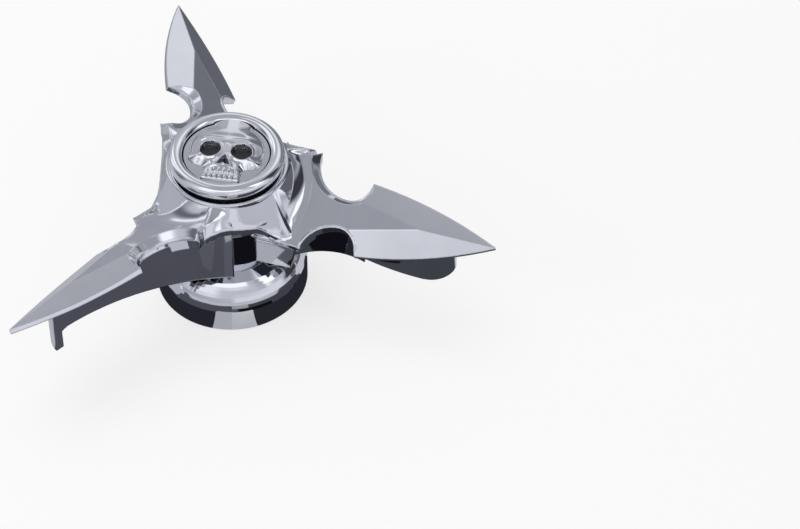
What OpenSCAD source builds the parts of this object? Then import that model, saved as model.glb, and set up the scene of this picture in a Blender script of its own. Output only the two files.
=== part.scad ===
// Free-spinning cover for a motorcycle axle nut: a chromed cap that slips over the nut,
// and a three-bladed cast spinner that turns on two ball bearings above it.
// Origin: centre of the cap's open rim. +Z is the axle axis, pointing away from the wheel.
// Lengths are millimetres. A blade's own frame has x outward, y across, anticlockwise from above.

/* [Cap over the nut] */
// Outside diameter of the cap's wall
cap_d = 44.6; // [44:0.2:48]
// Height of the cap's straight wall
cap_wall_h = 8; // [7:0.5:9]
// Height of the cap's flat top above its rim
cap_top_z = 18.5; // [18:0.25:19.5]
// Diameter of the flat at the cap's top
cap_top_d = 25; // [20:1:28]
// Diameter of the bore that takes the axle nut
nut_bore_d = 35; // [32:0.5:36]
// Depth of the bore that takes the axle nut
nut_bore_h = 12; // [11.5:0.25:12.5]
// Thread diameter of the grub screws
grub_d = 5; // [4:0.5:5]
// Height of the grub screws above the rim
grub_z = 4.2; // [4:0.1:4.5]
// Thickness of the rubber grip ring's cord
grip_cord_d = 2; // [1.6:0.1:2.2]
// Height of the grip ring above the rim
grip_z = 9.6; // [9.4:0.1:9.8]

/* [Spindle and bearings] */
// Bore of each ball bearing, which is the spindle's diameter
bearing_bore = 8; // [7:0.5:8]
// Outside diameter of each ball bearing
bearing_od = 22; // [22:0.5:23]
// Width of each ball bearing
bearing_w = 7; // [6.5:0.25:7.5]
// Diameter of a bearing ball
ball_d = 3.96; // [3.4:0.1:4]
// Balls in each bearing
ball_count = 7; // [6:1:8]
// Height of the lower bearing's bottom face
lower_bearing_z = 23; // [22.75:0.25:23.5]
// Length of the spacer between the bearings
spacer_h = 7; // [6:0.5:7.5]
// Diameter of the spindle's flange
flange_d = 12; // [11:0.5:12.5]
// Thickness of the spring washer under the flange
lock_washer_t = 1.5; // [1:0.25:2]
// Thread diameter of the retaining screw
screw_d = 5; // [4:0.5:5]

/* [Spinner hub] */
// Outside diameter of the hub's skirt
skirt_d = 32.8; // [32:0.2:34]
// Height of the skirt's and the vanes' lower edge
skirt_z = 21.5; // [20.5:0.25:22]
// Outside diameter of the bell at its lip
lip_d = 35.4; // [35:0.2:36.5]
// Height of the bell's lip
lip_z = 48; // [47.5:0.25:48.5]
// Radius at which the bell's cove runs out on a blade
cove_r = 24.3; // [23.5:0.2:25]

/* [Blades] */
// Radius of the circle through the blade tips
tip_r = 80; // [76:1:88]
// Radius of the barbs behind each blade's head
barb_r = 41; // [40.5:0.5:43]
// Half the width across the barbs, along the pitched blade
barb_half_w = 11.2; // [10:0.2:12]
// Half the width of the neck, along the pitched blade
neck_half_w = 4.7; // [4:0.1:5.2]
// Radius at which the neck is narrowest
neck_r = 35; // [34.5:0.25:35.5]
// Radius of the flat's far end, where the ridge begins
ridge_r = 57.7; // [54:0.5:61]
// Pitch of the blades, anticlockwise side up
pitch = 26.6; // [22:0.2:28]
// Height of the blades' cutting edges at their centreline
blade_z = 35.9; // [35.5:0.1:36.5]
// Thickness from the cutting edges up to the blade's flat
flat_h = 2.9; // [2.4:0.1:3.2]
// Thickness from the cutting edges down to the underside
under_h = 1.2; // [1:0.1:1.6]
// Angle of the first blade from +X
blade_azimuth = 104; // [0:1:119]

/* [Wind vanes] */
// Thickness of a vane and of the hub's side walls
vane_t = 2.5; // [2:0.1:3]
// Radius at which a vane's hooked end begins
hook_r = 60.2; // [58:0.2:62]
// Inside radius of the hook
hook_in_r = 5; // [4:0.25:6]

/* [Medallion] */
// Outside diameter of the bezel
bezel_d = 33.2; // [32.6:0.2:33.6]
// Height of the bezel's top above the bell's lip
bezel_h = 4.6; // [4.2:0.2:5]
// Diameter of the medallion plate
plate_d = 24.6; // [23:0.2:25.6]
// Thickness of the medallion plate
plate_t = 1.8; // [1.4:0.1:2]
// Height of the skull's crown above the plate
relief_h = 2.4; // [1.6:0.1:2.6]
// Turn of the medallion, anticlockwise from above
medallion_turn = -8; // [-30:1:30]

/* [Hidden] */
$fn = 96;

blade_count = 3;
// Working clearances, on the radius: fixed fits, and parts that run past each other
fit = 0.02;
run = 0.07;
// Overlap that makes two shapes of one casting fuse
weld = 0.2;

// Cap
cap_r = cap_d / 2;
nut_r = nut_bore_d / 2;
grub_angles = [52, 128];
grub_inset = 0.3;
shoulder_r = cap_r - 4.6;
shoulder_z = cap_top_z - 3;
roof_fillet = 4;
rim_chamfer = 0.5;

// Bearings
shaft_r = bearing_bore / 2 - fit;
race_r = (bearing_bore + bearing_od) / 4;
ball_r = ball_d / 2;
groove_r = ball_r + run;
inner_ring_r = race_r - 1.2;
outer_ring_r = race_r + 1.2;
shield_t = 0.3;
shield_seat = 0.5;
shield_seat_t = 0.6;
cage_half_w = 0.8;
cage_h = 5.2;
spacer_od = inner_ring_r * 2 - 1;
upper_bearing_z = lower_bearing_z + bearing_w + spacer_h;
stack_top_z = upper_bearing_z + bearing_w;
flange_z = cap_top_z + lock_washer_t;
circlip_t = 1;
circlip_z = lower_bearing_z - circlip_t;
circlip_w = 2.2;
circlip_gap = 5;
circlip_bite = 0.6;
outer_land = 1.6;
washer_t = 1.2;
screw_head_h = 2.2;
screw_head_r = screw_d * 0.9;
screw_l = 9;
key_af = screw_d * 0.6;
grub_key_af = grub_d / 2;

// Hub
skirt_r = skirt_d / 2;
lip_r = lip_d / 2;
lip_round = 0.5;
well_r = cup_r() + fit;
well_z = stack_top_z + 0.6;

// Blade, in its pitched frame
half_head = barb_half_w;
tip_round = 0.3;
edge_sag = 1.7;
edge_lift = 0.4;
barb_back = [0.6, 1.9];
bevel_x = 39;
bevel_half_w = 4.3;
tight_notch_r = 5.5;
low_notch_r = 9.8;
high_notch_r = 11.2;
low_thorn = [26, -13.65];
high_thorn = [24.2, 17.5];
low_root = [[8, -12.3], [17, -12.4], [24.4, -12.9]];
high_root = [[22, 15.2], [17, 14], [8, 14]];
neck_over = 2;
notch_shoulder = 2;
root_under = 3;
root_end_x = 28;

// Hub walls under a blade, in plan
high_wall_y = 12.7;
wall_from_x = skirt_r - 3.6;
vane_z = skirt_z + 0.1;
low_wall_y = -11.3;
low_wall_top_x = 24.8;
low_wall_foot_x = 22.2;

// Flange between the blades, and the hollow curve of the bell above it
flange_r = skirt_r + 2.9;
flange_edge_z = 39.1;
flange_t = 2.6;
bell_hollow = 12;
bell_straight = 2;
cove_hollow = 9;

// Vane: a long arc from the hub's high wall to the hook
vane_arc_r = 76.4;
vane_arc_at = [hook_r + 2.2, vane_arc_r - 1.9];
hook_at = [hook_r, hook_in_r - 1.7];
web_end_x = 42;
web_notch_r = 20;
web_notch_at = [34.5, -21.5];

// Medallion
bezel_r = bezel_d / 2;
bezel_z = lip_z + bezel_h;
plate_r = plate_d / 2;
cup_floor_t = 1;
cup_floor_z = lip_z - 0.4;
pad_t = 0.8;
pad_inset = 1.4;
plate_z = cup_floor_z + cup_floor_t + pad_t;
plate_top_z = plate_z + plate_t;
cup_depth = 3;
bezel_under_z = lip_z + 1.4;
inlay_t = 0.5;
skull_edge_h = 0.5;

// Skull in plan, on a plate of 12.3 mm radius
skull_scale = plate_r / 12.3;
crown_r = 9.9 * skull_scale;
crown_at = [0, 1.9] * skull_scale;
socket_r = 2.7 * skull_scale;
socket_at = [4.5, -0.6] * skull_scale;
cheek = [[10.2, -1.4], [9.5, -4.3], [7.3, -5.8], [5.4, -6.3]] * skull_scale;
jaw = [[4.6, -6.6], [4.4, -9.6], [2.9, -10.9]] * skull_scale;
nose = [[0.2, -2.6], [1.5, -5.2], [1.4, -6], [0.5, -5.9], [0.1, -5.3]] * skull_scale;
mouth_at = [3.6, -8.9] * skull_scale;
tooth_pitch = 1.35 * skull_scale;
tooth_h = 3.2 * skull_scale;
tooth_gap = 0.26 * skull_scale;
tooth_z = 0.8;

function cup_r() = lip_d / 2 - 2.4;
function arc(at, r, from, to, n) =
    [for (i = [0 : n]) let (a = from + (to - from) * i / n) at + r * [cos(a), sin(a)]];
function with_mirror(points) =
    concat(points, [for (i = [len(points) - 1 : -1 : 0]) [-points[i][0], points[i][1]]]);
function radius_of_sag(chord, sag) = chord * chord / (8 * sag) + sag / 2;

// Ring with a square section, standing on z = 0
module ring(outer, inner, height) {
    difference() {
        cylinder(r = outer, h = height);
        translate([0, 0, -1]) cylinder(r = inner, h = height + 2);
    }
}

// Repeats a shape for each blade
module each_blade() {
    for (i = [0 : blade_count - 1]) rotate([0, 0, blade_azimuth + i * 360 / blade_count]) children();
}

// Carries a shape from the pitched blade's frame to the hub's
module pitched() {
    translate([0, 0, blade_z]) rotate([pitch, 0, 0]) children();
}

// Cap: a wall round the nut, a rounded shoulder and a flat top tapped for the spindle
module nut_cap() {
    shoulder = [[cap_r, cap_wall_h], [shoulder_r, shoulder_z]];
    chord = norm(shoulder[1] - shoulder[0]);
    arc_r = radius_of_sag(chord, 0.9);
    mid = (shoulder[0] + shoulder[1]) / 2;
    along = (shoulder[1] - shoulder[0]) / chord;
    centre = mid + [-along[1], along[0]] * (arc_r - 0.9);
    start = atan2(cap_wall_h - centre[1], cap_r - centre[0]);
    end = atan2(shoulder_z - centre[1], shoulder_r - centre[0]);
    color("lightsteelblue") difference() {
        rotate_extrude() polygon(concat(
            [[0, nut_bore_h], [nut_r - roof_fillet, nut_bore_h]],
            arc([nut_r - roof_fillet, nut_bore_h - roof_fillet], roof_fillet, 90, 0, 6),
            [[nut_r, 0], [cap_r - rim_chamfer, 0], [cap_r, rim_chamfer]],
            arc(centre, arc_r, start, end, 8),
            [[cap_top_d / 2, cap_top_z], [0, cap_top_z]]
        ));
        translate([0, 0, nut_bore_h - 1]) cylinder(d = bearing_bore, h = cap_top_z - nut_bore_h + 2);
        translate([0, 0, grip_z]) rotate_extrude()
            translate([nut_r, 0]) circle(d = grip_cord_d + 2 * fit);
        for (a = grub_angles) rotate([0, 0, a]) translate([nut_r - 2, 0, grub_z])
            rotate([0, 90, 0]) cylinder(d = grub_d, h = cap_r);
    }
}

// Two grub screws that lock the cap on the nut, with hexagon sockets
module grub_screws() {
    length = cap_r - nut_r - grub_inset;
    color("dimgray") for (a = grub_angles) rotate([0, 0, a])
        translate([nut_r, 0, grub_z]) rotate([0, 90, 0]) difference() {
            cylinder(r = grub_d / 2 - fit, h = length);
            translate([0, 0, length / 2]) cylinder(d = grub_key_af * 2 / sqrt(3), h = length, $fn = 6);
        }
}

// Rubber ring in the bore's groove, which centres the cap on the nut's corners
module grip_ring() {
    color("black") translate([0, 0, grip_z]) rotate_extrude()
        translate([nut_r, 0]) circle(d = grip_cord_d);
}

// Spindle: a shaft with a flange under the bearings and a thread into the cap's roof
module spindle() {
    color("silver") difference() {
        union() {
            translate([0, 0, nut_bore_h]) cylinder(r = shaft_r, h = stack_top_z - fit - nut_bore_h);
            translate([0, 0, flange_z]) cylinder(d = flange_d, h = lower_bearing_z - flange_z);
        }
        translate([0, 0, stack_top_z + washer_t - screw_l - 1]) cylinder(d = screw_d, h = screw_l);
    }
}

// Split spring washer between the flange and the cap
module lock_washer() {
    color("gray") translate([0, 0, cap_top_z]) difference() {
        ring(flange_d / 2 - 0.2, bearing_bore / 2 + 0.1, lock_washer_t);
        rotate([0, 0, 30]) translate([0, -0.4, -1]) cube([flange_d, 0.8, lock_washer_t + 2]);
    }
}

// Ball bearing pieces, each standing on the bearing's bottom face
module race_groove() {
    translate([0, 0, bearing_w / 2]) rotate_extrude() translate([race_r, 0]) circle(r = groove_r);
}

module inner_ring() {
    color("silver") difference() {
        ring(inner_ring_r, bearing_bore / 2, bearing_w);
        race_groove();
    }
}

module outer_ring() {
    color("silver") difference() {
        ring(bearing_od / 2 - fit, outer_ring_r, bearing_w);
        race_groove();
        for (z = [-1, bearing_w - shield_seat_t])
            translate([0, 0, z]) cylinder(r = outer_ring_r + shield_seat, h = shield_seat_t + 1);
    }
}

module balls() {
    color("white") for (i = [0 : ball_count - 1]) rotate([0, 0, i * 360 / ball_count])
        translate([race_r, 0, bearing_w / 2]) sphere(r = ball_r, $fn = 32);
}

module cage() {
    color("goldenrod") translate([0, 0, (bearing_w - cage_h) / 2]) difference() {
        ring(race_r + cage_half_w, race_r - cage_half_w, cage_h);
        for (i = [0 : ball_count - 1]) rotate([0, 0, i * 360 / ball_count])
            translate([race_r, 0, cage_h / 2]) sphere(r = ball_r + run, $fn = 32);
    }
}

module shield() {
    color("lightgray") ring(outer_ring_r + shield_seat - fit, inner_ring_r + 0.25, shield_t);
}

module shield_over() {
    translate([0, 0, bearing_w - shield_seat_t]) shield();
}

module shield_under() {
    translate([0, 0, shield_seat_t - shield_t]) shield();
}

// Tube that keeps the two inner rings apart
module bearing_spacer() {
    color("silver") translate([0, 0, lower_bearing_z + bearing_w])
        ring(spacer_od / 2, bearing_bore / 2, spacer_h);
}

// Snap ring in the skirt's groove, under the lower bearing
module circlip() {
    outer = bearing_od / 2 + circlip_bite;
    color("dimgray") translate([0, 0, circlip_z]) difference() {
        ring(outer - fit, bearing_od / 2 - circlip_w, circlip_t - fit);
        rotate([0, 0, 210]) translate([0, -circlip_gap / 2, -1]) cube([outer + 1, circlip_gap, circlip_t + 2]);
    }
}

// Washer and button-head screw that clamp the inner rings on the spindle
module retaining_washer() {
    color("silver") translate([0, 0, stack_top_z]) ring(inner_ring_r, screw_d / 2 + 0.1, washer_t);
}

module retaining_screw() {
    crown = radius_of_sag(screw_head_r * 2, screw_head_h * 0.8);
    color("dimgray") translate([0, 0, stack_top_z + washer_t]) difference() {
        union() {
            intersection() {
                cylinder(r = screw_head_r, h = screw_head_h);
                translate([0, 0, screw_head_h - crown]) sphere(r = crown);
            }
            translate([0, 0, -screw_l + 0.5]) cylinder(r = screw_d / 2 - fit, h = screw_l);
        }
        translate([0, 0, screw_head_h / 2]) cylinder(d = key_af * 2 / sqrt(3), h = screw_head_h, $fn = 6);
    }
}

// Outline of one blade from its thorns to its tip, in the pitched frame. Its long edges are arcs.
// Each notch is a tight arc at the barb that opens into a wider one towards the thorn.
module edge_disc() {
    reach = tip_r + tip_round - barb_r;
    chord = norm([reach, half_head]);
    r = radius_of_sag(chord, edge_sag);
    mid = [barb_r + reach / 2, half_head / 2];
    translate(mid - [half_head, reach] / chord * (r - edge_sag)) circle(r = r, $fn = 360);
}

module half_disc(r, outward) {
    translate([neck_r, neck_half_w + r]) intersection() {
        circle(r = r);
        translate([outward ? 0 : -2 * r, -2 * r]) square([2 * r, 4 * r]);
    }
}

module notch(wide_r) {
    half_disc(tight_notch_r, true);
    half_disc(wide_r, false);
    polygon([
        [neck_r - 2, half_head - barb_back[1]], [barb_r - barb_back[0], half_head - barb_back[1]],
        [barb_r + barb_back[0], half_head + barb_back[1]], [neck_r - 2, half_head + barb_back[1]]
    ]);
}

module blade_outline() {
    difference() {
        union() {
            intersection() {
                edge_disc();
                mirror([0, 1, 0]) edge_disc();
                translate([neck_r - 1, -tip_r / 2]) square([tip_r - neck_r + 1, tip_r]);
            }
            polygon(concat(
                low_root, [low_thorn, [neck_r + neck_over, -neck_half_w - neck_over / 2]],
                [[neck_r + neck_over, neck_half_w + neck_over / 2], high_thorn], high_root
            ));
        }
        notch(high_notch_r);
        mirror([0, 1, 0]) notch(low_notch_r);
    }
}

// Cuts the bevel on one side, which falls from the flat's border to the cutting edge
module bevel_cut() {
    turn = -atan2(bevel_half_w, ridge_r - bevel_x);
    width = (half_head - bevel_half_w) * cos(turn) - (barb_r - bevel_x) * sin(turn);
    slope = atan2(flat_h - edge_lift, width);
    translate([bevel_x, bevel_half_w, flat_h]) rotate([0, 0, turn]) rotate([-slope, 0, 0])
        translate([-12, 0, 0]) cube([tip_r, 40, 20]);
}

// Sloping shoulder along the high notch, cut as two half cones
module shoulder_cone(r, outward) {
    slope = notch_shoulder / flat_h;
    intersection() {
        translate([neck_r, neck_half_w + r, -1])
            cylinder(h = flat_h + 2, r1 = r - slope, r2 = r + slope * (flat_h + 1));
        translate([outward ? neck_r : neck_r - 3 * r, neck_half_w - r, -2]) cube([3 * r, 4 * r, flat_h + 4]);
    }
}

module blade_head_and_root() {
    pitched() difference() {
        translate([0, 0, -root_under]) linear_extrude(flat_h + root_under) blade_outline();
        translate([root_end_x, -tip_r, -under_h - 20]) cube([tip_r, tip_r * 2, 20]);
        bevel_cut();
        mirror([0, 1, 0]) bevel_cut();
        shoulder_cone(tight_notch_r, true);
        shoulder_cone(high_notch_r, false);
    }
}

// Everything below the pitched blade's middle, where the vane and walls end
module below_blade() {
    pitched() translate([-tip_r / 2, -tip_r, -100]) cube([tip_r * 2, tip_r * 2, 100]);
}

// Vane in plan: long arc, hooked end, and the web that joins it to the hub
module vane_plan() {
    span = tip_r;
    difference() {
        intersection() {
            translate(vane_arc_at) circle(r = vane_arc_r + vane_t, $fn = 360);
            translate([wall_from_x, -span / 2]) square([hook_r - wall_from_x, span]);
        }
        translate(vane_arc_at) circle(r = vane_arc_r, $fn = 360);
    }
    difference() {
        translate(hook_at) circle(r = hook_in_r + vane_t + 0.1);
        translate(hook_at) circle(r = hook_in_r);
        translate([hook_r - span, -span]) square([span, span * 2]);
        translate([0, hook_at[1]]) square([span, span]);
    }
    difference() {
        translate([wall_from_x, low_wall_y + vane_t]) square([web_end_x - wall_from_x, high_wall_y - low_wall_y - vane_t]);
        translate(vane_arc_at) circle(r = vane_arc_r, $fn = 360);
        translate(web_notch_at) circle(r = web_notch_r);
        difference() {
            translate([wall_from_x - 1, low_wall_y + 2 * vane_t]) square([web_end_x, high_wall_y - low_wall_y - 3 * vane_t]);
            circle(r = skirt_r + weld);
            translate(vane_arc_at) circle(r = vane_arc_r + vane_t, $fn = 360);
            translate(web_notch_at) circle(r = web_notch_r + vane_t);
        }
    }
}

// Short wall under the low thorn, raked back towards its foot
module low_wall() {
    translate([0, low_wall_y + vane_t, 0]) rotate([90, 0, 0]) linear_extrude(vane_t)
        polygon([
            [wall_from_x - 1, vane_z], [low_wall_foot_x, vane_z], [low_wall_top_x, blade_z], [wall_from_x - 1, blade_z]
        ]);
}

module vane_and_walls() {
    intersection() {
        union() {
            translate([0, 0, vane_z]) linear_extrude(lip_z - vane_z) vane_plan();
            low_wall();
        }
        below_blade();
    }
}

// Cove between the bell and one blade's flat, turned about the pitched blade's own normal
module cove() {
    intersection() {
        pitched() rotate_extrude() polygon(concat(
            [[skirt_r - 4, 0], [cove_r, 0]],
            arc([cove_r, flat_h + cove_hollow - 0.1], cove_hollow, 270, 227, 6),
            [[skirt_r - 4, flat_h + cove_hollow * 0.27]]
        ));
        translate([4, low_wall_y + 0.3, skirt_z]) cube([cove_r, high_wall_y - low_wall_y, lip_z - skirt_z - 1.5]);
    }
}

// Bell, flange and skirt: the turned middle of the casting. The flange joins the blades' roots.
module bell() {
    rotate_extrude() polygon(concat(
        [[0, skirt_z], [skirt_r, skirt_z], [skirt_r, flange_edge_z - flange_t - 1]],
        [[flange_r, flange_edge_z - flange_t], [flange_r, flange_edge_z]],
        arc([lip_r - lip_round + bell_hollow, lip_z - bell_straight], bell_hollow, 214, 180, 5),
        arc([lip_r - lip_round, lip_z - lip_round], lip_round, -30, 90, 5),
        [[0, lip_z]]
    ));
}

// Seats in the hub: two bearing bores with a land between, a snap-ring groove and the bezel's well
module hub_seats() {
    land_r = bearing_od / 2 - outer_land;
    translate([0, 0, skirt_z - 1]) cylinder(d = bearing_od, h = lower_bearing_z + bearing_w - skirt_z + 1);
    translate([0, 0, lower_bearing_z]) cylinder(r = land_r, h = spacer_h + bearing_w + 1);
    translate([0, 0, upper_bearing_z]) cylinder(d = bearing_od, h = lip_z);
    translate([0, 0, circlip_z]) cylinder(r = bearing_od / 2 + circlip_bite, h = circlip_t);
    translate([0, 0, well_z]) cylinder(r = well_r, h = lip_z);
}

// Spinner: one casting with its hub, three pitched blades and the vanes under them
module spinner() {
    color("lightsteelblue") difference() {
        union() {
            bell();
            each_blade() {
                blade_head_and_root();
                vane_and_walls();
                cove();
            }
        }
        hub_seats();
    }
}

// Bezel: a shallow cup pressed into the bell, with a rolled rim that stands over the lip
module bezel_cup() {
    round_r = (bezel_z - bezel_under_z) / 2;
    round_at = [bezel_r - round_r, bezel_under_z + round_r];
    color("lightsteelblue") rotate_extrude() polygon(concat(
        [[0, cup_floor_z], [cup_r() - 3, cup_floor_z], [cup_r() - 3, cup_floor_z - cup_depth + 0.6]],
        [[cup_r(), cup_floor_z - cup_depth + 0.6], [cup_r(), bezel_under_z]],
        arc(round_at, round_r, -90, 90, 10),
        [[plate_r + 0.9, bezel_z - 0.15], [plate_r + fit, plate_top_z + 0.1], [plate_r + fit, plate_z]],
        [[plate_r + fit, cup_floor_z + cup_floor_t], [0, cup_floor_z + cup_floor_t]]
    ));
}

module adhesive_pad() {
    color("dimgray") translate([0, 0, cup_floor_z + cup_floor_t]) cylinder(r = plate_r - pad_inset, h = pad_t);
}

module medallion_plate() {
    color("slategray") translate([0, 0, plate_z]) cylinder(r = plate_r, h = plate_t);
}

// Skull in plan, of a plain kind: round crown, cheekbones and a squared jaw
module skull_outline() {
    polygon(with_mirror(concat(arc(crown_at, crown_r, 88, -4, 24), cheek, jaw)));
}

module socket_outlines() {
    for (side = [-1, 1]) translate([side * socket_at[0], socket_at[1]]) circle(r = socket_r);
    polygon(with_mirror(nose));
}

// Gaps between the teeth, and the line where the rows meet
module tooth_lines() {
    for (i = [-2 : 2]) translate([i * tooth_pitch, mouth_at[1]]) square([tooth_gap, tooth_h], center = true);
    translate([0, mouth_at[1]]) square([2 * mouth_at[0], tooth_gap], center = true);
}

module on_plate() {
    translate([0, 0, plate_top_z]) rotate([0, 0, medallion_turn]) children();
}

module skull_relief() {
    dome_r = radius_of_sag(2 * plate_r, relief_h - skull_edge_h);
    color("lightsteelblue") on_plate() difference() {
        intersection() {
            linear_extrude(relief_h) skull_outline();
            translate([0, 0, relief_h - dome_r]) sphere(r = dome_r);
        }
        translate([0, 0, -1]) linear_extrude(relief_h + 2) socket_outlines();
        translate([0, 0, tooth_z]) linear_extrude(relief_h) tooth_lines();
    }
}

// Black enamel that fills the bottom of the eye and nose sockets
module socket_inlays() {
    color("black") on_plate() intersection() {
        linear_extrude(inlay_t) socket_outlines();
        cylinder(r = plate_r, h = inlay_t);
    }
}

nut_cap();
grub_screws();
grip_ring();
spindle();
lock_washer();
translate([0, 0, lower_bearing_z]) inner_ring();  // lower_inner_ring
translate([0, 0, lower_bearing_z]) outer_ring();  // lower_outer_ring
translate([0, 0, lower_bearing_z]) balls();  // lower_balls
translate([0, 0, lower_bearing_z]) cage();  // lower_cage
translate([0, 0, lower_bearing_z]) shield_under();  // lower_shield_under
translate([0, 0, lower_bearing_z]) shield_over();  // lower_shield_over
bearing_spacer();
translate([0, 0, upper_bearing_z]) inner_ring();  // upper_inner_ring
translate([0, 0, upper_bearing_z]) outer_ring();  // upper_outer_ring
translate([0, 0, upper_bearing_z]) balls();  // upper_balls
translate([0, 0, upper_bearing_z]) cage();  // upper_cage
translate([0, 0, upper_bearing_z]) shield_under();  // upper_shield_under
translate([0, 0, upper_bearing_z]) shield_over();  // upper_shield_over
circlip();
retaining_washer();
retaining_screw();
spinner();
bezel_cup();
adhesive_pad();
medallion_plate();
skull_relief();
socket_inlays();
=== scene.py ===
import math

import bmesh
import bpy
from mathutils import Matrix, Vector
from mathutils.bvhtree import BVHTree


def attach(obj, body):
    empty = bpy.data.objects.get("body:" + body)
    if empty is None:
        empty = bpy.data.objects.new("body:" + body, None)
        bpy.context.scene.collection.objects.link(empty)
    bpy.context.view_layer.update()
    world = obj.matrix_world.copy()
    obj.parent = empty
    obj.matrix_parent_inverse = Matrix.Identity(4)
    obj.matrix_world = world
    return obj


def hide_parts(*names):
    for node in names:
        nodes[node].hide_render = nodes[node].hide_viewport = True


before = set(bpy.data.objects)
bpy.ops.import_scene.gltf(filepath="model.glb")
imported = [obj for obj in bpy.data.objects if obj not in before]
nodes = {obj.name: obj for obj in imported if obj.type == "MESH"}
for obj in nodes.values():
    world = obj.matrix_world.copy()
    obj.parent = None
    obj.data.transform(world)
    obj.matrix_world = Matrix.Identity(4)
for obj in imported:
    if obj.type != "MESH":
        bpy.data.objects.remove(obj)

scene = bpy.context.scene
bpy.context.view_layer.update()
mm = 0.001

# Camera
# A long lens on a stand, 47 degrees above the table, looking across the cover's left blade.
# The cover stands left of the picture's middle, where the photograph has it.
elevation = math.radians(47.39)
look = Vector((0, math.cos(elevation), -math.sin(elevation)))
up = Vector((0, math.sin(elevation), math.cos(elevation)))
camera_tilt = math.radians(0.58)
aside, above, away = 49.8, 3.0, 880.3
right = Vector((1, 0, 0))
camera_data = bpy.data.cameras.new("stand_camera")
camera_data.sensor_width = 36
camera_data.lens = 133
camera_data.clip_start, camera_data.clip_end = 0.05, 20
camera = bpy.data.objects.new("stand_camera", camera_data)
scene.collection.objects.link(camera)
camera_right = right * math.cos(camera_tilt) + up * math.sin(camera_tilt)
camera_up = up * math.cos(camera_tilt) - right * math.sin(camera_tilt)
camera.rotation_mode = "QUATERNION"
camera.rotation_quaternion = Matrix((camera_right, camera_up, -look)).transposed().to_quaternion()
camera.location = (camera_right * aside + camera_up * above - look * away) * mm
scene.camera = camera
scene.view_settings.view_transform = "Standard"


# Axle nut cap
# A turned brass cap, closed at the top, that slips over the axle nut. It is copper-nickel-chrome plated.
# The plate is a near mirror with a cool cast. Buffing leaves a faint haze, slow waves and a little lint.
class Socket:
    """A shader value that takes Python's operators. Each operator adds one node."""

    def __init__(self, tree, out):
        self.tree, self.out = tree, out

    def node(self, kind, settings=None, inputs=None, out=0):
        made = self.tree.nodes.new(kind)
        for key, value in (settings or {}).items():
            if key == "stops":
                ramp = made.color_ramp
                while len(ramp.elements) < len(value):
                    ramp.elements.new(1)
                for element, (place, shade) in zip(ramp.elements, value):
                    element.position = place
                    element.color = shade if len(shade) == 4 else (*shade, 1)
            else:
                setattr(made, key, value)
        for key, value in (inputs or {}).items():
            target = made.inputs[key]
            if isinstance(value, Socket):
                self.tree.links.new(value.out, target)
            else:
                target.default_value = value
        return Socket(self.tree, made.outputs[out])

    def math(self, operation, *values):
        return self.node("ShaderNodeMath", {"operation": operation}, dict(enumerate(values)))

    def __add__(self, other):
        return self.math("ADD", self, other)

    def __sub__(self, other):
        return self.math("SUBTRACT", self, other)

    def __rsub__(self, other):
        return self.math("SUBTRACT", other, self)

    def __mul__(self, other):
        return self.math("MULTIPLY", self, other)

    def __pow__(self, other):
        return self.math("POWER", self, other)

    __radd__, __rmul__ = __add__, __mul__

    def between(self, low, high):
        """0 where this is under low, 1 where it is over high, and smooth between."""
        return self.node(
            "ShaderNodeMapRange", {"interpolation_type": "SMOOTHSTEP"}, {0: self, 1: low, 2: high, 3: 0.0, 4: 1.0}
        )

    def mix(self, a, b):
        """Colour a where this is 0 and colour b where it is 1."""
        return self.node("ShaderNodeMix", {"data_type": "RGBA"}, {0: self, 6: a, 7: b}, out=2)

    def noise(self, scale, detail):
        """Noise with so many cells to a metre, and so many finer layers over it."""
        return self.node("ShaderNodeTexNoise", {}, {"Vector": self, "Scale": scale, "Detail": detail})


def new_finish(name):
    """A material with its shader, its object coordinates and a socket to start expressions from."""
    material = bpy.data.materials.new(name)
    material.use_nodes = True
    tree = material.node_tree
    shader = tree.nodes["Principled BSDF"]
    place = Socket(tree, tree.nodes.new("ShaderNodeTexCoord").outputs["Object"])
    return material, shader, place


def set_shader(shader, **values):
    """Links sockets and sets numbers on a shader, by its inputs' names with _ for a space."""
    for key, value in values.items():
        target = shader.inputs[key.replace("_", " ")]
        if isinstance(value, Socket):
            value.tree.links.new(value.out, target)
        else:
            target.default_value = value


def dress(name, material):
    """Gives a CAD node this material in place of the plain one."""
    mesh = nodes[name].data
    mesh.materials.clear()
    mesh.materials.append(material)


def rounded(place, radius, bump, strength, distance):
    """The normal of an edge rounded by the polishing wheel, with a bump laid over it."""
    edge = place.node("ShaderNodeBevel", {"samples": 6}, {"Radius": radius})
    sockets = {"Height": bump, "Normal": edge, "Strength": strength, "Distance": distance}
    return place.node("ShaderNodeBump", {}, sockets)


def chrome(name, tint=(0.80, 0.815, 0.86), wave=0.10, edge=0.3, haze_scale=90.0):
    """Bright plate. The haze and lint make it rougher in places, and the swell makes it wave."""
    material, shader, place = new_finish(name)
    haze = place.noise(haze_scale, 4.0)
    lint = place.noise(900.0, 3.0).between(0.63, 0.72)
    swell = place.noise(38.0, 1.0)
    set_shader(
        shader,
        Metallic=1.0,
        Base_Color=haze.between(0.3, 0.7).mix((*[c * 0.95 for c in tint], 1), (*tint, 1)),
        Roughness=0.03 + haze * 0.03 + lint * 0.04,
        Normal=rounded(place, edge * mm, swell, wave, 0.0014),
    )
    return material


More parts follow.
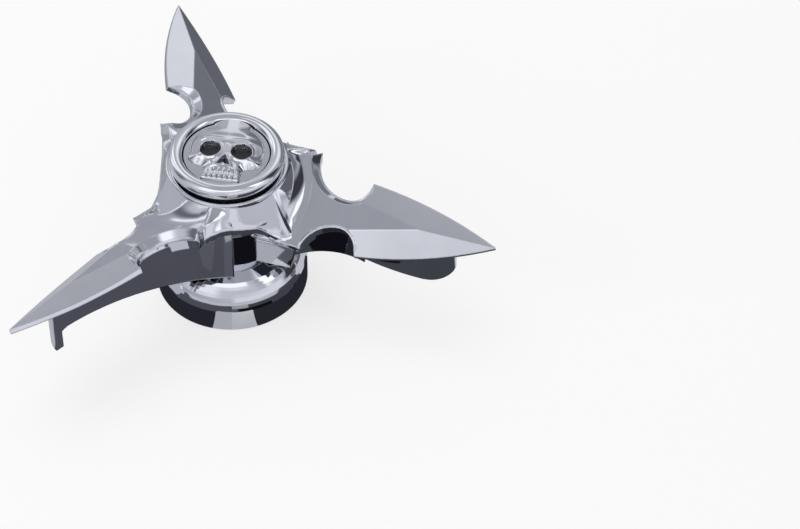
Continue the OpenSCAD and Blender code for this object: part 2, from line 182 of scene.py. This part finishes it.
def turned(name, tone, rough=0.25, pitch=0.00018, metal=1.0, tint=(1.0, 0.99, 0.97), depth=0.12):
    """Bare metal off the lathe: fine rings round the axle, and a mottle from handling."""
    material, shader, place = new_finish(name)
    split = place.node("ShaderNodeSeparateXYZ", {}, {0: place})
    x, y = split, Socket(place.tree, split.out.node.outputs[1])
    z = Socket(place.tree, split.out.node.outputs[2])
    reach = (x * x + y * y) ** 0.5
    rings = place.math("SINE", (reach + z * 0.6) * (math.tau / pitch))
    mottle = place.noise(260.0, 5.0)
    stain = place.noise(45.0, 3.0).between(0.5, 0.75)
    shade = [tone * c for c in tint]
    set_shader(
        shader,
        Metallic=metal,
        Base_Color=(mottle * 0.7 + stain * 0.3).mix((*[c * 0.82 for c in shade], 1), (*shade, 1)),
        Roughness=rough + mottle * 0.14 + rings * 0.03,
        Normal=rounded(place, 0.15 * mm, rings * 0.5 + mottle, depth, 0.00002),
    )
    return material


dress("nut_cap", chrome("turned_chrome", wave=0.05))

# Grub screws
# Two M5 screws with hexagon sockets through the cap's wall, which lock it on the nut.
# Alloy steel, blacked in hot salts, with an oily sheen.
black_oxide = turned("black_oxide", 0.055, rough=0.34, pitch=0.0005, metal=0.6, tint=(1, 1, 1.08))
dress("grub_screws", black_oxide)

# Grip ring
# A rubber cord ring in the cap's groove, which centres the cap on the nut's corners.
# Moulded nitrile rubber with a dusty bloom and a fine grain.
rubber, rubber_shader, rubber_place = new_finish("nitrile_rubber")
bloom = rubber_place.noise(180.0, 5.0)
grain = rubber_place.noise(1800.0, 2.0)
set_shader(
    rubber_shader,
    Base_Color=bloom.between(0.35, 0.75).mix((0.012, 0.012, 0.013, 1), (0.04, 0.04, 0.042, 1)),
    Roughness=0.55 + bloom * 0.25,
    Specular_IOR_Level=0.4,
    Normal=rubber_place.node("ShaderNodeBump", {}, {"Height": grain, "Strength": 0.3, "Distance": 0.00005}),
)
dress("grip_ring", rubber)

# Spindle and its spring washer
# The spindle is a turned steel stud with a flange, screwed into the cap's roof through a split washer.
# Both are left bare, so they look darker than the plate around them.
dress("spindle", turned("spindle_steel", 0.42, rough=0.24, pitch=0.00025))
dress("lock_washer", turned("spring_steel", 0.16, rough=0.38, pitch=0.0009))

# Ball bearings
# Two stock 8 x 22 x 7 bearings with a tube between their inner rings. Rings and balls are ground steel.
# The cages are pressed brass and the shields are pressed steel, snapped into the outer rings.
race_steel = turned("race_steel", 0.60, rough=0.12, pitch=0.00012, depth=0.05)
ball_steel = chrome("ball_steel", tint=(0.74, 0.75, 0.77), wave=0.0, edge=0.05, haze_scale=400.0)
shield_steel = turned("shield_steel", 0.48, rough=0.26, pitch=0.0004)
cage_brass = turned("cage_brass", 0.72, rough=0.28, pitch=0.0006, tint=(1.0, 0.76, 0.36))
for level in ("lower", "upper"):
    dress(level + "_inner_ring", race_steel)
    dress(level + "_outer_ring", race_steel)
    dress(level + "_balls", ball_steel)
    dress(level + "_cage", cage_brass)
    dress(level + "_shield_under", shield_steel)
    dress(level + "_shield_over", shield_steel)
dress("bearing_spacer", turned("spacer_steel", 0.50, rough=0.22))

# Spinner
# One zinc die casting, plated bright: hub, three pitched blades and the wind vanes under them.
# The hub's surface sweeps from the bell's lip into each blade's flat, and ends in a free edge between the blades.

# Stations of the sweep over one third of a turn, from a blade's low thorn to the next blade's: angle from the
# blade, reach and height of its end, how hollow it is, how far it follows the blade's flat, height of its crease.
sweep_stations = [
    (-25.1, 27.2, 32.2, 1.6, 0.0, 0.0),
    (-22.0, 24.6, 34.5, 2.0, 1.0, 0.0),
    (-17.0, 24.3, 35.6, 2.3, 1.0, 0.0),
    (0.0, 24.3, 39.1, 2.3, 1.0, 0.0),
    (26.0, 24.3, 44.4, 2.3, 1.0, 0.0),
    (32.6, 24.5, 45.7, 2.0, 1.0, 0.2),
    (34.6, 27.0, 43.4, 1.0, 0.0, 1.4),
    (38.4, 24.7, 43.2, 1.0, 0.0, 1.2),
    (44.0, 22.9, 43.2, 1.0, 0.0, 0.4),
    (48.0, 22.0, 42.7, 1.1, 0.0, 0.0),
    (52.0, 21.2, 42.0, 1.2, 0.0, 0.0),
    (58.6, 20.4, 40.9, 1.3, 0.0, 0.0),
    (65.0, 19.9, 40.1, 1.4, 0.0, 0.0),
    (72.0, 19.7, 39.3, 1.5, 0.0, 0.0),
    (77.5, 19.9, 37.8, 1.5, 0.0, 0.0),
    (82.0, 20.5, 36.1, 1.5, 0.0, 0.0),
    (86.0, 21.7, 34.7, 1.5, 0.0, 0.0),
    (90.0, 23.2, 33.4, 1.5, 0.0, 0.0),
    (94.9, 27.2, 32.2, 1.6, 0.0, 0.0),
]
azimuth = 104
flat_z, flat_rise = 39.14, 0.5
lip_r, lip_z = 17.35, 47.4
crease_y = 13.5
rim_drop, rim_round = 2.4, 0.12
skirt_r, skirt_top_z = 16.0, 37.5
sweep_steps = 16


def station(angle):
    for before, after in zip(sweep_stations, sweep_stations[1:]):
        if angle <= after[0]:
            part = max(0.0, (angle - before[0]) / (after[0] - before[0]))
            return [p + (q - p) * part for p, q in zip(before, after)]
    return sweep_stations[-1]


def sweep_column(angle):
    """Points in reach and height from the lip out to the free edge, and back under it to the skirt."""
    theta, reach, end_z, hollow, on_flat, crease = station(angle)
    rise = flat_rise * math.sin(math.radians(theta))
    across = max(0.01, math.sin(math.radians(max(theta, 1))))
    crease_at = max(0.05, min(0.95, (crease_y / across - lip_r) / (reach - lip_r)))
    column = []
    for step in range(sweep_steps + 1):
        s = step / sweep_steps
        r = lip_r + (reach - lip_r) * s
        base = end_z + on_flat * (flat_z + rise * r - 0.06 * s - end_z)
        start = end_z + on_flat * (flat_z + rise * lip_r - end_z)
        tent = min(s / crease_at, (1 - s) / (1 - crease_at)) * crease
        column.append((r, base + (lip_z - start) * (1 - s) ** hollow + tent))
    r, z = column[-1]
    column += [(r + rim_round, z - 0.25), (r + rim_round, z - rim_drop + 0.2), (r - 0.1, z - rim_drop)]
    under_r = skirt_r + 0.6
    column += [(under_r + (r - under_r) * 0.5, z - rim_drop - 0.3)]
    column += [(skirt_r, min(z - rim_drop, skirt_top_z) - 0.9)]
    return column


hub = bmesh.new()
hub.from_mesh(nodes["spinner"].data)
# The root's underside stands in from its thorns, and the underside of the head rises to a thin tip.
# A fine cast lip runs round both notches.
pitch_turn, pitch_axis_z = math.radians(26.6), 35.9
neck_r, neck_half, tight_r = 35.0, 4.7, 5.5
root_under, root_span, thorn_y = (-3.2, -2.8), (7, 30.5), 12
head_under, thin_from, tip_x, thinning = (-1.4, -1.0), 62, 80, 0.75
lip_out, lip_sunk, lip_girth, lip_sides = 0.3, 0.08, 0.36, 8


def notch_point(radius, degrees, side):
    """A point beside a notch's arc, in the blade's own frame."""
    angle, reach = math.radians(degrees), radius + lip_out
    return neck_r + reach * math.cos(angle), side * (neck_half + radius - reach * math.sin(angle))


lip_paths = []
for side, wide_r, thorn in ((-1, 9.8, 171), (1, 11.2, 169)):
    path = [notch_point(wide_r, thorn + (90 - thorn) * i / 24, side) for i in range(25)]
    path += [notch_point(tight_r, 90 - 88 * i / 18, side) for i in range(1, 19)]
    lip_paths.append(path)
for blade in range(3):
    to_blade = Matrix.Rotation(-pitch_turn, 4, "X") @ Matrix.Translation((0, 0, -pitch_axis_z * mm))
    to_blade = to_blade @ Matrix.Rotation(-math.radians(azimuth + blade * 120), 4, "Z")
    from_blade = to_blade.inverted()
    for vert in hub.verts:
        x, y, z = to_blade @ vert.co / mm
        at_root = root_under[0] < z < root_under[1] and root_span[0] < x < root_span[1]
        if at_root and abs(y) > thorn_y:
            y -= (y - thorn_y) * 0.4 if y > 0 else (y + thorn_y) * 0.5
            vert.co = from_blade @ (Vector((x, y, z)) * mm)
        elif head_under[0] < z < head_under[1] and x > thin_from:
            z *= 1 - thinning * (x - thin_from) / (tip_x - thin_from)
            vert.co = from_blade @ (Vector((x, y, z)) * mm)
    surface = BVHTree.FromBMesh(hub)
    down = from_blade.to_3x3() @ Vector((0, 0, -1))
    for path in lip_paths:
        rings = []
        for i, (x, y) in enumerate(path):
            hit = surface.ray_cast(from_blade @ (Vector((x, y, 12)) * mm), down)[0]
            height = (to_blade @ hit / mm).z if hit else 0.0
            before, after = path[max(0, i - 1)], path[min(len(path) - 1, i + 1)]
            across = Vector((before[1] - after[1], after[0] - before[0], 0)).normalized()
            girth = lip_girth * min(1, 0.25 + i / 5, 0.25 + (len(path) - 1 - i) / 5)
            ring = []
            for k in range(lip_sides):
                turn = math.tau * k / lip_sides
                spot = Vector((x, y, height - lip_sunk)) + across * girth * math.cos(turn)
                spot.z += girth * math.sin(turn)
                ring.append(hub.verts.new(from_blade @ (spot * mm)))
            rings.append(ring)
        for here, there in zip(rings, rings[1:]):
            for k in range(lip_sides):
                beside = (k + 1) % lip_sides
                hub.faces.new((here[k], here[beside], there[beside], there[k]))
        hub.faces.new(rings[0])
        hub.faces.new(rings[-1])
columns = []
for blade in range(3):
    for step in range(120):
        angle = sweep_stations[0][0] + step
        turn = math.radians(azimuth + blade * 120 + angle)
        points = [Vector((r * math.cos(turn), r * math.sin(turn), z)) * mm for r, z in sweep_column(angle)]
        columns.append([hub.verts.new(point) for point in points])
for here, there in zip(columns, columns[1:] + columns[:1]):
    for a, b, c, d in zip(here, here[1:], there[1:], there):
        hub.faces.new((a, b, c, d))
hub_mesh = bpy.data.meshes.new("cast_spinner")
hub.to_mesh(hub_mesh)
hub.free()
for face in hub_mesh.polygons:
    face.use_smooth = True
hub_mesh.set_sharp_from_angle(angle=math.radians(32))
hub_mesh.materials.clear()
hub_mesh.materials.append(chrome("cast_chrome", edge=0.5))
cast_spinner = bpy.data.objects.new("cast_spinner", hub_mesh)
scene.collection.objects.link(cast_spinner)
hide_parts("spinner")
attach(cast_spinner, "rotor")

# Snap ring, clamping washer and screw
# The ring snaps into the skirt's groove under the lower bearing. It is blacked spring steel.
# The washer and the button-head screw clamp the inner rings on the spindle, under the bezel.
dress("circlip", black_oxide)
dress("retaining_washer", turned("washer_steel", 0.5, rough=0.3))
dress("retaining_screw", black_oxide)

# Bezel
# A cup spun from brass sheet with a rolled rim, pressed into the bell. It has the cap's plate, painted lighter
# than the cap's as painted light, so that the roll shines brighter.
# The roll is half round. The grooves on both sides of it are painted near black, as painted shade for the shadow
# in the narrow gaps.
plate_top_z = 51.2
rim_r, crown_r = 16.6, 14.55
outer_wide, outer_high, outer_z = 2.05, 1.82, 50.75
inner_wide, inner_high, inner_z = 1.9, 1.27, 51.3
roll = [(15.8, 49.05), (16.3, 49.15), (16.52, 49.4), (16.6, 49.8)]
for degrees in range(0, 91, 10):
    a = math.radians(degrees)
    roll.append((rim_r - outer_wide * (1 - math.cos(a)), outer_z + outer_high * math.sin(a)))
for degrees in range(10, 91, 10):
    a = math.radians(degrees)
    roll.append((crown_r - inner_wide * math.sin(a), inner_z + inner_high * math.cos(a)))
groove_from = len(roll)
section = roll + [(12.65, 50.2), (12.34, 49.42), (0.6, 49.42), (0.6, 47.65), (14.9, 47.65), (14.9, 49.3)]
bezel = bmesh.new()
turns = 192
loops = []
for step in range(turns):
    turn = math.tau * step / turns
    loops.append([bezel.verts.new(Vector((r * math.cos(turn), r * math.sin(turn), z)) * mm) for r, z in section])
for here, there in zip(loops, loops[1:] + loops[:1]):
    for i in range(len(section)):
        j = (i + 1) % len(section)
        face = bezel.faces.new((here[i], there[i], there[j], here[j]))
        face.smooth = True
        face.material_index = 0 if i < groove_from - 1 else 1
bezel_mesh = bpy.data.meshes.new("rolled_bezel")
bezel.normal_update()
bezel.to_mesh(bezel_mesh)
bezel.free()
bezel_mesh.set_sharp_from_angle(angle=math.radians(50))
# The roll's plate is painted lighter than the cap's: painted light for its brighter reflections.
bezel_mesh.materials.append(chrome("rolled_chrome_painted_lighter", tint=(0.90, 0.915, 0.95), wave=0.05, edge=0.12))
# The grooves' near black is painted shade, for the shadow in the narrow gaps beside the roll.
bezel_mesh.materials.append(turned("groove_painted_shade", 0.035, rough=0.5, pitch=0.0004, metal=0.5, tint=(1, 1, 1)))
rolled_bezel = bpy.data.objects.new("rolled_bezel", bezel_mesh)
scene.collection.objects.link(rolled_bezel)
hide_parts("bezel_cup")
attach(rolled_bezel, "rotor")

# Medallion
# A plate stuck into the cup with foam tape. Its ground is dark chrome, a little smoked.
# The skull is cast on it and polished, and black enamel fills its sockets.
foam, foam_shader, foam_place = new_finish("foam_tape")
cells = foam_place.noise(1500.0, 4.0)
set_shader(
    foam_shader,
    Base_Color=cells.between(0.35, 0.65).mix((0.02, 0.02, 0.02, 1), (0.07, 0.07, 0.072, 1)),
    Roughness=0.8 + cells * 0.15,
    Normal=foam_place.node("ShaderNodeBump", {}, {"Height": cells, "Strength": 0.5, "Distance": 0.0001}),
)
dress("adhesive_pad", foam)
dress("medallion_plate", chrome("smoked_chrome", tint=(0.64, 0.65, 0.68), wave=0.04, edge=0.15))
enamel, enamel_shader, enamel_place = new_finish("black_enamel")
orange_peel = enamel_place.noise(700.0, 2.0)
set_shader(
    enamel_shader,
    Base_Color=orange_peel.between(0.3, 0.7).mix((0.006, 0.006, 0.007, 1), (0.012, 0.012, 0.013, 1)),
    Roughness=0.14 + orange_peel * 0.1,
    Normal=enamel_place.node("ShaderNodeBump", {}, {"Height": orange_peel, "Strength": 0.2, "Distance": 0.00004}),
)
dress("socket_inlays", enamel)

medallion_turn = math.radians(-8)
eye_at, eye_r = (4.5, -0.6), 2.85


def bump_at(u, v, at, size, height):
    """A soft swelling at a place, as wide and high as size says."""
    return height * math.exp(-(((u - at[0]) / size[0]) ** 2) - ((v - at[1]) / size[1]) ** 2)


def ease(value, low, high):
    """0 under low, 1 over high, and smooth between."""
    part = max(0.0, min(1.0, (value - low) / (high - low)))
    return part * part * (3 - 2 * part)


def inside_skull(u, v):
    """Distance in from the skull's outline: round crown, cheekbones and a squared jaw."""
    crown = 10.1 - math.hypot(u * 0.95, v - 1.6)
    cheek = 3.3 - math.hypot((abs(u) - 7.2) * 0.9, (v + 2.6) * 1.1)
    jaw = min(5.6 - abs(u) * 0.98, v + 11.1, (16.6 - abs(u) + v) * 0.75)
    parts = sorted((crown, cheek, jaw))
    near = max(0.0, 1 - (parts[2] - parts[1]) / 1.2)
    return parts[2] + 0.2 * near * near


def skull_height(u, v):
    """Height of the skull over the plate: dome, brow, eye rims, cheekbones, teeth and nose, in that order."""
    side = abs(u)
    depth = inside_skull(u, v)
    z = 1.15 * (1 - math.exp(-max(0.0, depth) / 0.7))
    z += 1.2 * math.sqrt(max(0.0, 1 - (u / 12) ** 2 - ((v - 2.4) / 12) ** 2)) * ease(depth, 0, 4.5)
    to_eye = math.hypot(side - eye_at[0], v - eye_at[1])
    z += bump_at(side, v, (4.4, 3.2), (3.4, 0.8), 0.34) - bump_at(side, v, (4.2, 4.9), (3.6, 0.9), 0.16)
    z += 0.24 * math.exp(-(((to_eye - eye_r - 0.35) / 0.38) ** 2))
    z += bump_at(side, v, (0, -0.6), (0.9, 1.8), 0.3) + bump_at(side, v, (7.6, -3.6), (1.7, 0.9), 0.5)
    z -= bump_at(side, v, (6.3, -6), (1.5, 1.3), 0.7) + bump_at(side, v, (9.6, 1.0), (1.0, 2.2), 0.25)
    z -= bump_at(side, v, (3.0, -4.6), (1.0, 0.9), 0.28)
    z += bump_at(side, v, (0, -7.2), (3.8, 1.1), 0.25)
    tooth = abs(math.sin(math.pi * (u / 1.5 + 0.5)))
    row = ease(v, -10.7, -10.3) * (1 - ease(v, -7.9, -7.4)) * ease(4.6 - side, 0, 0.3)
    z -= row * (0.45 * (1 - tooth**0.35) + 0.45 * math.exp(-(((v + 9.0) / 0.2) ** 2)))
    nose_half = 0.25 + (-2.6 - v) * 0.5
    nose = min(nose_half - side, v + 6.0 - 0.6 * math.exp(-((side / 0.45) ** 2)))
    z += 0.2 * math.exp(-(((nose + 0.35) / 0.28) ** 2))
    z += (0.1 - z) * max(ease(eye_r - to_eye, -0.25, 0.15), ease(nose, -0.2, 0.12))
    edge = ease(depth, -0.05, 0.3)
    return max(-0.12, min(2.42, z) * edge - 0.12 * (1 - edge))


skull = bmesh.new()
cell, half_cells, plate_edge_r = 0.125, 97, 12.1
grid = {}
for i in range(-half_cells, half_cells + 1):
    for j in range(-half_cells, half_cells + 1):
        u, v = i * cell, j * cell
        if inside_skull(u, v) > -0.3 and math.hypot(u, v) < plate_edge_r:
            x = u * math.cos(medallion_turn) - v * math.sin(medallion_turn)
            y = u * math.sin(medallion_turn) + v * math.cos(medallion_turn)
            grid[i, j] = skull.verts.new(Vector((x, y, plate_top_z + skull_height(u, v))) * mm)
for (i, j), vert in grid.items():
    corners = [grid.get(key) for key in ((i, j), (i + 1, j), (i + 1, j + 1), (i, j + 1))]
    if all(corners):
        skull.faces.new(corners).smooth = True
skull_mesh = bpy.data.meshes.new("cast_skull")
skull.to_mesh(skull_mesh)
skull.free()
skull_mesh.materials.append(chrome("skull_chrome", tint=(0.80, 0.81, 0.85), wave=0.02, edge=0.05))
cast_skull = bpy.data.objects.new("cast_skull", skull_mesh)
scene.collection.objects.link(cast_skull)
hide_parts("skull_relief")
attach(cast_skull, "rotor")

# Table
# A sheet of white paper under the cover. It is pale by its own colour and keeps the cover's soft shadow.
floor_mesh = bpy.data.meshes.new("white_paper")
paper_sheet = bmesh.new()
bmesh.ops.create_grid(paper_sheet, x_segments=24, y_segments=24, size=1.6)
paper_sheet.to_mesh(floor_mesh)
paper_sheet.free()
floor = bpy.data.objects.new("white_paper", floor_mesh)
scene.collection.objects.link(floor)
paper, paper_shader, paper_place = new_finish("paper")
fibre = paper_place.noise(900.0, 4.0)
set_shader(
    paper_shader,
    Base_Color=fibre.mix((0.88, 0.88, 0.88, 1), (0.91, 0.91, 0.91, 1)),
    Roughness=0.9,
    Specular_IOR_Level=0.1,
)
paper_tree, paper_glow = paper.node_tree, 0.7
camera_ray = Socket(paper_tree, paper_tree.nodes.new("ShaderNodeLightPath").outputs["Is Camera Ray"])
glow = paper_tree.nodes.new("ShaderNodeEmission")
lit = paper_tree.nodes.new("ShaderNodeMixShader")
paper_tree.links.new((camera_ray * paper_glow).out, lit.inputs[0])
paper_tree.links.new(paper_shader.outputs[0], lit.inputs[1])
paper_tree.links.new(glow.outputs[0], lit.inputs[2])
paper_tree.links.new(lit.outputs[0], paper_tree.nodes["Material Output"].inputs[0])
floor_mesh.materials.append(paper)

# Studio
# A grey tent gives the chrome its middle tones. White cards and black flags round it give it crisp edges.
# The tent is white where the camera sees it, and the lamps behind it light the cover softly from above.
world = bpy.data.worlds.new("studio")
scene.world = world
world.use_nodes = True
world_tree = world.node_tree
world_shader = world_tree.nodes["Background"]
direction = Socket(world_tree, world_tree.nodes.new("ShaderNodeTexCoord").outputs["Generated"])
along_x = direction.node("ShaderNodeSeparateXYZ", {}, {0: direction})
along_y = Socket(world_tree, along_x.out.node.outputs[1])
height = Socket(world_tree, along_x.out.node.outputs[2])
# Bearings count from this azimuth, so that their seam lies behind the cover.
bearing_from = -68
facing = math.radians(bearing_from)
bearing = direction.math(
    "ARCTAN2",
    along_y * math.cos(facing) - along_x * math.sin(facing),
    along_x * math.cos(facing) + along_y * math.sin(facing),
) * (180 / math.pi)
elevation_of = height.math("ARCSINE", height) * (180 / math.pi)
up_the_tent = height * 0.5 + 0.5
tent = up_the_tent.node(
    "ShaderNodeValToRGB",
    {
        "stops": [
            (0.0, (0.30, 0.31, 0.34)),
            (0.45, (0.34, 0.35, 0.38)),
            (0.55, (0.40, 0.41, 0.45)),
            (0.72, (0.50, 0.51, 0.54)),
            (0.86, (0.42, 0.43, 0.46)),
            (0.97, (0.36, 0.37, 0.40)),
            (1.0, (0.40, 0.41, 0.44)),
        ]
    },
    {0: up_the_tent},
)


def panel(under, az_from, az_to, low, high, shade, soft):
    """Hangs a card in the tent, by its azimuths and elevations in degrees, with a soft border."""
    a, b = az_from - bearing_from, az_to - bearing_from
    across = bearing.between(a - soft, a + soft) * (1 - bearing.between(b - soft, b + soft))
    upright = elevation_of.between(low - soft, low + soft) * (1 - elevation_of.between(high - soft, high + soft))
    return (across * upright).mix(under, (*shade, 1))


# Azimuths, elevations, shade and soft border of each panel, the later ones over the earlier.
panels = (
    (-165, -45, 8, 60, (0.60, 0.61, 0.655), 9),
    (-146, -110, 16, 50, (0.96, 0.965, 0.99), 10),
    (48, 84, 36, 60, (0.86, 0.87, 0.91), 7),
    (78, 99, 24, 44, (0.82, 0.825, 0.86), 5),
    (26, 80, -5, 28, (0.19, 0.195, 0.22), 7),
    (-86, -10, -20, 20, (0.78, 0.79, 0.84), 6),
    (-150, -58, 45, 64, (1.15, 1.15, 1.2), 4),
    (-34, -14, 26, 64, (1.3, 1.3, 1.35), 4),
    (-240, -226, 28, 72, (1.2, 1.2, 1.25), 4),
    (-6, 20, -5, 56, (0.045, 0.045, 0.055), 5),
    (-220, -204, 12, 60, (1.0, 1.0, 1.05), 5),
    (-194, -172, -5, 42, (0.16, 0.163, 0.185), 8),
)
for az_from, az_to, low, high, shade, soft in panels:
    tent = panel(tent, az_from, az_to, low, high, shade, soft)
paths = world_tree.nodes.new("ShaderNodeLightPath")
by_camera = Socket(world_tree, paths.outputs["Is Camera Ray"])
by_gloss = Socket(world_tree, paths.outputs["Is Glossy Ray"])
seen = by_camera.mix(by_gloss.mix((0.62, 0.62, 0.63, 1), tent), (1, 1, 1, 1))
world_tree.links.new(seen.out, world_shader.inputs["Color"])


def soft_box(name, at, size, power):
    light = bpy.data.lights.new(name, "AREA")
    light.shape = "RECTANGLE"
    light.size, light.size_y = size
    light.energy = power
    lamp = bpy.data.objects.new(name, light)
    scene.collection.objects.link(lamp)
    lamp.location = at
    lamp.rotation_mode = "QUATERNION"
    lamp.rotation_quaternion = (Vector((0, 0, 0.04)) - Vector(at)).to_track_quat("-Z", "Y")
    lamp.visible_glossy = False


def card(name, corners, shade):
    """A card that only the chrome sees."""
    tone = bpy.data.materials.new(name)
    tone.use_nodes = True
    tree = tone.node_tree
    tree.nodes.remove(tree.nodes["Principled BSDF"])
    glow = tree.nodes.new("ShaderNodeEmission")
    glow.inputs["Color"].default_value = (*shade, 1)
    tree.links.new(glow.outputs[0], tree.nodes["Material Output"].inputs[0])
    mesh = bpy.data.meshes.new(name)
    mesh.from_pydata(corners, [], [tuple(range(len(corners)))])
    mesh.materials.append(tone)
    sheet = bpy.data.objects.new(name, mesh)
    scene.collection.objects.link(sheet)
    sheet.visible_camera = sheet.visible_diffuse = sheet.visible_shadow = sheet.visible_transmission = False


def fan(az_from, az_to, near, far, z):
    """Corners of a card that lies on the table round the cover."""
    steps = [az_from + (az_to - az_from) * i / 12 for i in range(13)]
    rim = [(far * math.cos(math.radians(a)), far * math.sin(math.radians(a)), z) for a in steps]
    return rim + [(near * math.cos(math.radians(a)), near * math.sin(math.radians(a)), z) for a in reversed(steps)]


night = (0.022, 0.023, 0.03)
# Name, azimuths, near and far edge, height over the table and shade of each card.
table_cards = (
    ("flag_left", -103, -195, 0.0222, 0.034, 0.0003, night),
    ("flag_right", -68, 18, 0.0222, 0.034, 0.0003, night),
    ("grey_left", -103, -148, 0.034, 0.095, 0.0003, (0.085, 0.087, 0.105)),
    ("grey_near", -88, -103, 0.0385, 0.095, 0.0003, (0.085, 0.087, 0.105)),
    ("pale_near", -88, -103, 0.0222, 0.0385, 0.0003, (0.46, 0.465, 0.50)),
    ("flag_core", -82, -46, 0.034, 0.048, 0.0004, (0.006, 0.006, 0.009)),
    ("pale_left", -148, -215, 0.034, 0.6, 0.0003, (0.48, 0.485, 0.53)),
    ("grey_front", -88, -70, 0.055, 0.095, 0.0003, (0.36, 0.365, 0.40)),
    ("grey_centre", -88, -70, 0.034, 0.055, 0.0003, (0.11, 0.112, 0.135)),
    ("grey_right", -70, -2, 0.034, 0.095, 0.0003, (0.06, 0.062, 0.075)),
    ("pale_right", -2, 80, 0.034, 0.1, 0.0003, (0.6, 0.605, 0.65)),
    ("grey_far", -148, -2, 0.095, 0.6, 0.0003, (0.56, 0.565, 0.61)),
    ("grey_back", -2, 80, 0.1, 0.6, 0.0003, (0.14, 0.143, 0.165)),
    ("grey_behind", 80, 145, 0.034, 0.6, 0.0003, (0.34, 0.345, 0.38)),
)
for name, az_from, az_to, near, far, z, shade in table_cards:
    card("table_" + name, fan(az_from, az_to, near, far, z), shade)

soft_box("top_box", (-0.25, 0.15, 1.2), (0.9, 0.7), 5)
soft_box("left_box", (-1.1, -0.5, 0.7), (0.5, 0.6), 3)
